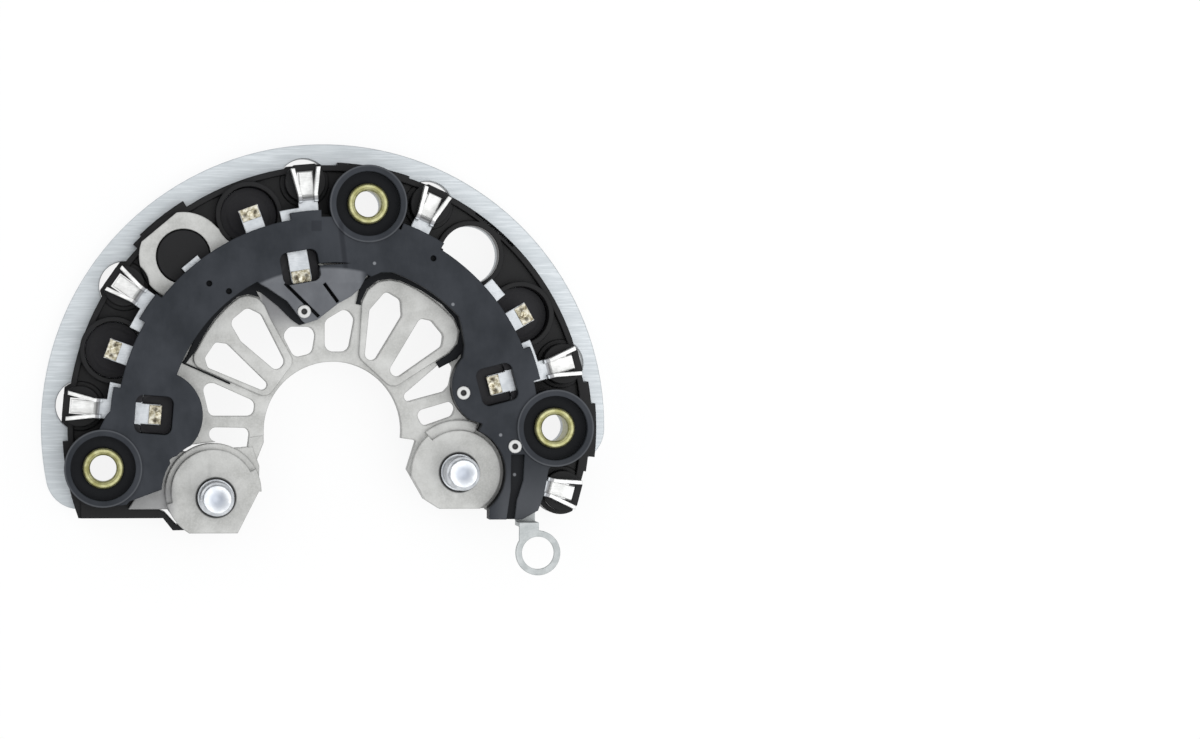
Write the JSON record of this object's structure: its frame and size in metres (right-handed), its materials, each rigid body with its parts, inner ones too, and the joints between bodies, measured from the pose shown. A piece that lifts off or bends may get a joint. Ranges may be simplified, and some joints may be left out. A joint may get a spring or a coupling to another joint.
{
  "type": "alternator rectifier",
  "caption": "Half-ring alternator rectifier: two heat sinks with pressed-in diodes, an insulator between them, a terminal block with lead forks, brass bushes and output studs.",
  "frame": {"origin": "on the alternator's shaft axis, in the rear face of the negative heat sink", "axes": "+Z from the rear face towards the terminals, +X to the right and +Y up as the terminal side is seen, with the shaft gap open towards -Y"},
  "size_m": [0.1348, 0.1017, 0.0255],
  "materials": {
    "base_plastic": "moulded, black",
    "block_plastic": "moulded, dark grey",
    "plate_aluminium": "stamped and coined",
    "cast_aluminium": "die cast, blasted",
    "bush_brass": "turned",
    "tinned_strip": "tinned copper strip",
    "zinc_steel": "bright zinc",
    "plated_copper": "nickel-plated copper",
    "silicon": "sawn silicon",
    "potting": "cast potting"
  },
  "bodies": {
    "root": {"insulator_base": "base_plastic", "terminal_block": "block_plastic", "negative_heat_sink": "plate_aluminium", "positive_heat_sink": "cast_aluminium", "mounting_bush_1": "bush_brass", "mounting_bush_2": "bush_brass", "mounting_bush_3": "bush_brass", "phase_conductor_1": "tinned_strip", "phase_conductor_2": "tinned_strip", "phase_conductor_3": "tinned_strip", "sense_terminal": "tinned_strip", "terminal_stud_1": "zinc_steel", "terminal_stud_2": "zinc_steel", "negative_diode_1_case": "plated_copper", "negative_diode_1_chip": "silicon", "negative_diode_1_lead": "plated_copper", "negative_diode_1_seal": "potting", "negative_diode_2_case": "plated_copper", "negative_diode_2_chip": "silicon", "negative_diode_2_lead": "plated_copper", "negative_diode_2_seal": "potting", "negative_diode_3_case": "plated_copper", "negative_diode_3_chip": "silicon", "negative_diode_3_lead": "plated_copper", "negative_diode_3_seal": "potting", "positive_diode_1_case": "plated_copper", "positive_diode_1_chip": "silicon", "positive_diode_1_lead": "plated_copper", "positive_diode_1_seal": "potting", "positive_diode_2_case": "plated_copper", "positive_diode_2_chip": "silicon", "positive_diode_2_lead": "plated_copper", "positive_diode_2_seal": "potting", "positive_diode_3_case": "plated_copper", "positive_diode_3_chip": "silicon", "positive_diode_3_lead": "plated_copper", "positive_diode_3_seal": "potting"}
  },
  "joints": []
}
